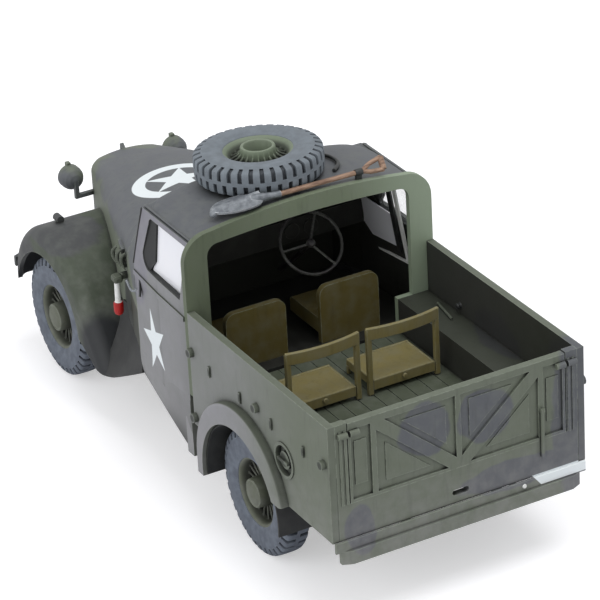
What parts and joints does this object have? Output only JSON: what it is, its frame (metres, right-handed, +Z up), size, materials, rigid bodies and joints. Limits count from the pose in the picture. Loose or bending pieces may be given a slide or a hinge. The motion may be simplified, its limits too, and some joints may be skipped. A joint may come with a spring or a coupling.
{
  "type": "scale model of a light utility car",
  "caption": "Painted plastic model of a wartime pick-up car: closed cab, open load bed with folding seats, spare wheel and shovel on the roof, wheels that turn.",
  "frame": {"origin": "on the floor under the middle of the bounding box", "axes": "+X towards the nose, +Y to the left side, +Z up"},
  "size_m": [0.1112, 0.0464, 0.052],
  "materials": {
    "body_green": "olive paint with dark patches",
    "pale_green": "lighter green paint",
    "running_gear": "dark paint",
    "seat": "olive yellow paint",
    "tyre": "dusty grey paint",
    "rim": "light olive paint",
    "clear": "clear moulding",
    "tool": "wood and steel colours",
    "marker": "white paint with a red tip"
  },
  "bodies": {
    "body": {"bed_floor": "pale_green", "bed_side_left": "body_green", "bed_side_right": "body_green", "bonnet": "body_green", "cab_floor": "body_green", "cab_hoop": "pale_green", "cab_roof": "body_green", "chassis_frame": "running_gear", "dashboard": "running_gear", "door_left": "body_green", "door_right": "body_green", "driveline": "running_gear", "exhaust": "running_gear", "front_axle": "running_gear", "front_bumper": "body_green", "front_mudguard_left": "body_green", "front_mudguard_right": "body_green", "fuel_tank": "running_gear", "headlamp_left": "body_green", "headlamp_right": "body_green", "radiator_grille": "body_green", "rear_axle": "running_gear", "rear_bumper": "body_green", "rear_mudguard_left": "body_green", "rear_mudguard_right": "body_green", "rear_seat_left": "seat", "rear_seat_right": "seat", "rear_sill": "body_green", "scuttle": "body_green", "seat_driver": "seat", "seat_passenger": "seat", "shovel": "tool", "spare_rim": "rim", "spare_tyre": "tyre", "steering_wheel": "running_gear", "tailgate": "body_green", "width_marker": "marker", "windscreen_frame": "body_green", "windscreen_glass": "clear"},
    "wheel_front_left": {"tyre_front_left": "tyre", "rim_front_left": "rim"},
    "wheel_front_right": {"tyre_front_right": "tyre", "rim_front_right": "rim"},
    "wheel_rear_left": {"tyre_rear_left": "tyre", "rim_rear_left": "rim"},
    "wheel_rear_right": {"tyre_rear_right": "tyre", "rim_rear_right": "rim"}
  },
  "joints": [
    {"name": "spin_front_left", "type": "hinge", "parent": "body", "child": "wheel_front_left", "pos_m": [0.03935, 0.0184, 0.0101], "axis": [0, 1, 0], "continuous": true},
    {"name": "spin_front_right", "type": "hinge", "parent": "body", "child": "wheel_front_right", "pos_m": [0.03935, -0.0184, 0.0101], "axis": [0, 1, 0], "continuous": true},
    {"name": "spin_rear_left", "type": "hinge", "parent": "body", "child": "wheel_rear_left", "pos_m": [-0.02865, 0.0184, 0.0101], "axis": [0, 1, 0], "continuous": true},
    {"name": "spin_rear_right", "type": "hinge", "parent": "body", "child": "wheel_rear_right", "pos_m": [-0.02865, -0.0184, 0.0101], "axis": [0, 1, 0], "continuous": true}
  ]
}
